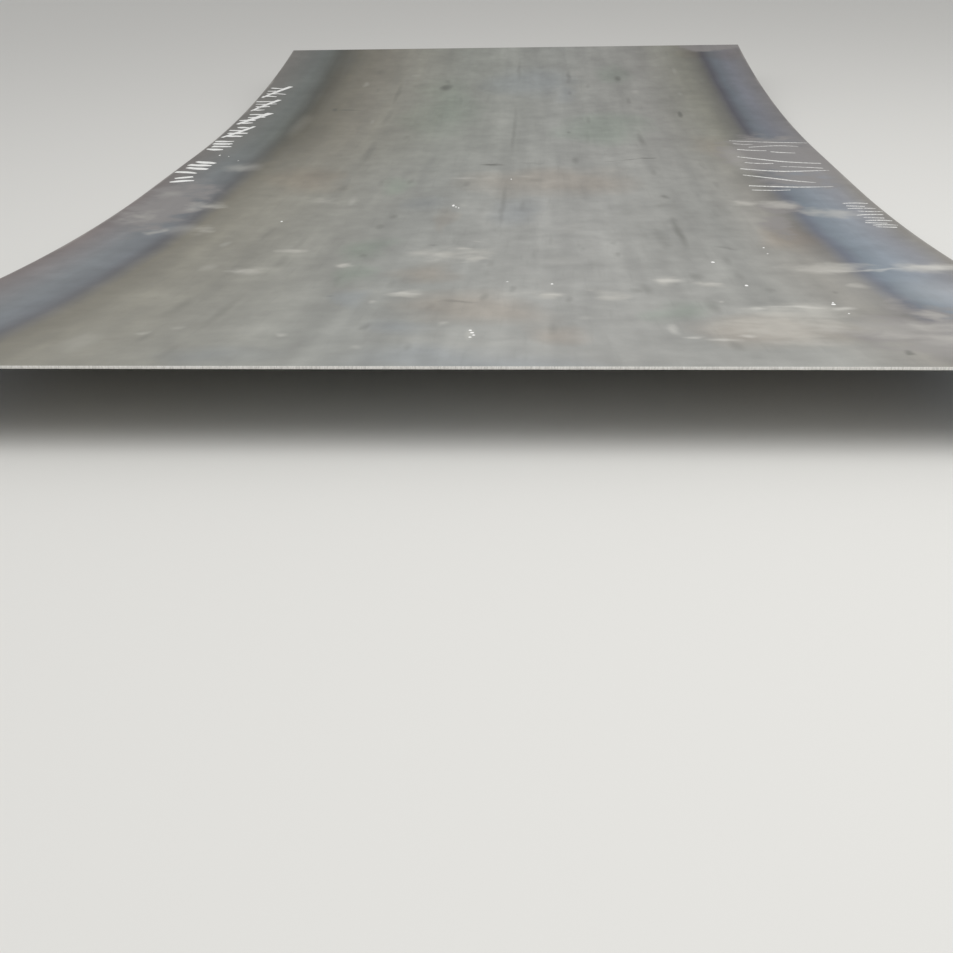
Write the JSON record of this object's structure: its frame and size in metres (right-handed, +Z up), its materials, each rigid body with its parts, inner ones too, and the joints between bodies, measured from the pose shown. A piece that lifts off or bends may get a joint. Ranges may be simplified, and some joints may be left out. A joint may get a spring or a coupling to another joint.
{
  "type": "steel plate",
  "caption": "Hot-rolled steel plate cut to length, with rounded mill edges along the sides, sheared ends and a gentle bow that lifts the ends.",
  "frame": {"origin": "middle of the plate, on the underside of its flat middle", "axes": "+Y along the length, the direction of rolling, +X across the width, +Z up, out of the top surface"},
  "size_m": [1.5, 2.9902, 0.1026],
  "materials": {
    "mill_scale_steel": "satin"
  },
  "bodies": {
    "root": {"steel_plate": "mill_scale_steel"}
  },
  "joints": []
}
